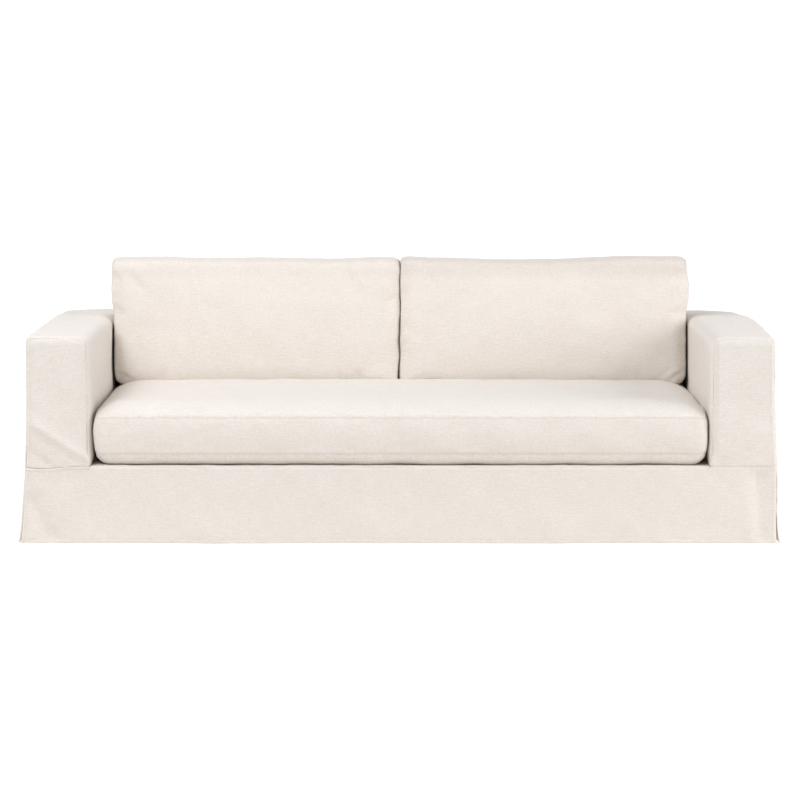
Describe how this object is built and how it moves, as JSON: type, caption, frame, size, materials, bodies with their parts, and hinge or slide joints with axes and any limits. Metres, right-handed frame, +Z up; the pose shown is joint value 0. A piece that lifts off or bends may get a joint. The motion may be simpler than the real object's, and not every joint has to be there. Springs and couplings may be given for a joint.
{
  "type": "sofa slipcover",
  "caption": "Fitted box-arm sofa slipcover with a floor-length skirt, a boxed bench seat cushion and loose boxed back cushions, hollow below for the sofa it fits over.",
  "frame": {"origin": "on the floor, under the middle of the cover's outline", "axes": "+X to the right of someone who looks at the sofa's front, -Y out of its front, +Z up"},
  "size_m": [2.5064, 1.02, 0.8791],
  "materials": {
    "body_cloth": "matte slubbed weave, ivory",
    "seat_cloth": "matte slubbed weave, ivory",
    "back_cloth": "matte slubbed weave, ivory"
  },
  "bodies": {
    "root": {"front_panel": "body_cloth", "deck": "body_cloth", "arm_front_left": "body_cloth", "arm_front_right": "body_cloth", "inside_arm_left": "body_cloth", "inside_arm_right": "body_cloth", "outside_arm_left": "body_cloth", "outside_arm_right": "body_cloth", "inside_back": "body_cloth", "outside_back": "body_cloth", "seat_cushion": "seat_cloth", "back_cushion_left": "back_cloth", "back_cushion_right": "back_cloth"}
  },
  "joints": []
}
